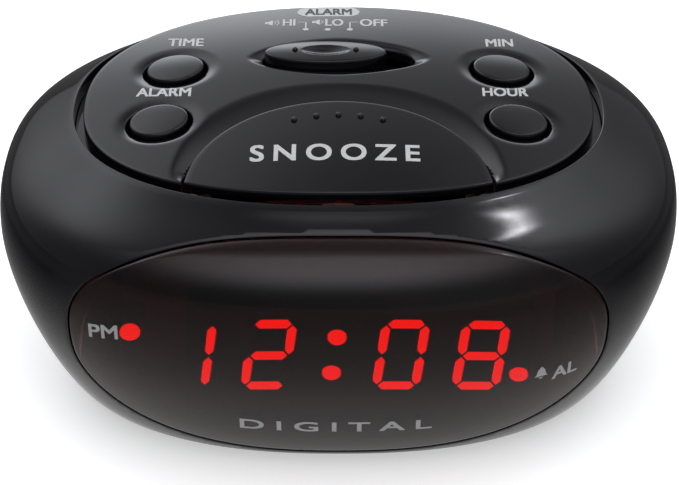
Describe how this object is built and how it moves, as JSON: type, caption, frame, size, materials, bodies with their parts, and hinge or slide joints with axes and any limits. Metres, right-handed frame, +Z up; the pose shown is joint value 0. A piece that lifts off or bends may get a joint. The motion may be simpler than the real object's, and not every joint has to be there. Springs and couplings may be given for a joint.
{
  "type": "alarm clock",
  "caption": "Rounded black LED alarm clock with a smoked lens, domed key panel, snooze bar, push keys, sliding alarm switch and a battery cover underneath.",
  "frame": {"origin": "on the surface the clock stands on, under the middle of the case", "axes": "+X to the reader's right, +Y to the back, +Z up; the display faces -Y"},
  "size_m": [0.134, 0.111, 0.0608],
  "materials": {
    "gloss_black": "polished black moulded plastic",
    "smoked_acrylic": "smoked clear acrylic, polished",
    "satin_black": "fine textured black moulded plastic",
    "black_rubber": "soft matt rubber",
    "circuit_board": "paper phenolic board",
    "plated_steel": "bright zinc plate",
    "lamination_steel": "stacked, varnished steel sheets",
    "copper_and_brass": "varnished winding and thin brass",
    "red_epoxy": "diffused red epoxy, lit",
    "grey_cable": "flat vinyl cable"
  },
  "bodies": {
    "case": {"case_shell": "gloss_black", "front_lens": "smoked_acrylic", "top_panel": "gloss_black", "base_plate": "satin_black", "battery_contact_plate": "satin_black", "foot_1": "black_rubber", "foot_2": "black_rubber", "foot_3": "black_rubber", "foot_4": "black_rubber", "case_screw_1": "plated_steel", "case_screw_2": "plated_steel", "case_screw_3": "plated_steel", "case_screw_4": "plated_steel", "key_board": "circuit_board", "board_screw_1": "plated_steel", "board_screw_2": "plated_steel", "board_screw_3": "plated_steel", "board_screw_4": "plated_steel", "time_tact_switch": "plated_steel", "alarm_tact_switch": "plated_steel", "minute_tact_switch": "plated_steel", "hour_tact_switch": "plated_steel", "snooze_tact_switch": "plated_steel", "slide_switch_body": "plated_steel", "led_housing": "satin_black", "led_epoxy": "red_epoxy", "pm_led": "red_epoxy", "display_board": "circuit_board", "clock_chip": "satin_black", "smoothing_capacitor": "satin_black", "ribbon_cable": "grey_cable", "transformer_core": "lamination_steel", "transformer_coil": "copper_and_brass", "buzzer_housing": "satin_black", "buzzer_disc": "copper_and_brass", "cord_bushing": "black_rubber"},
    "time_key_body": {"time_key": "gloss_black", "time_tact_plunger": "satin_black"},
    "alarm_key_body": {"alarm_key": "gloss_black", "alarm_tact_plunger": "satin_black"},
    "minute_key_body": {"minute_key": "gloss_black", "minute_tact_plunger": "satin_black"},
    "hour_key_body": {"hour_key": "gloss_black", "hour_tact_plunger": "satin_black"},
    "snooze_body": {"snooze_bar": "gloss_black", "snooze_tact_plunger": "satin_black"},
    "alarm_switch": {"alarm_switch_knob": "gloss_black", "slide_switch_lever": "satin_black"},
    "battery_cover_body": {"battery_cover": "satin_black"}
  },
  "joints": [
    {"name": "time_press", "type": "slide", "parent": "case", "child": "time_key_body", "axis": [0, 0, -1], "range_m": [0, 0.0008], "stiffness_N_per_m": 900},
    {"name": "alarm_press", "type": "slide", "parent": "case", "child": "alarm_key_body", "axis": [0, 0, -1], "range_m": [0, 0.0008], "stiffness_N_per_m": 900},
    {"name": "minute_press", "type": "slide", "parent": "case", "child": "minute_key_body", "axis": [0, 0, -1], "range_m": [0, 0.0008], "stiffness_N_per_m": 900},
    {"name": "hour_press", "type": "slide", "parent": "case", "child": "hour_key_body", "axis": [0, 0, -1], "range_m": [0, 0.0008], "stiffness_N_per_m": 900},
    {"name": "snooze_press", "type": "slide", "parent": "case", "child": "snooze_body", "axis": [0, 0, -1], "range_m": [0, 0.0008], "stiffness_N_per_m": 1500},
    {"name": "alarm_select", "type": "slide", "parent": "case", "child": "alarm_switch", "axis": [1, 0, 0], "range_m": [0, 0.0052]},
    {"name": "battery_cover_swing", "type": "hinge", "parent": "case", "child": "battery_cover_body", "pos_m": [-0.0265, -0.01215, 0.0027], "axis": [0, 1, 0], "range_deg": [0, 95]}
  ]
}
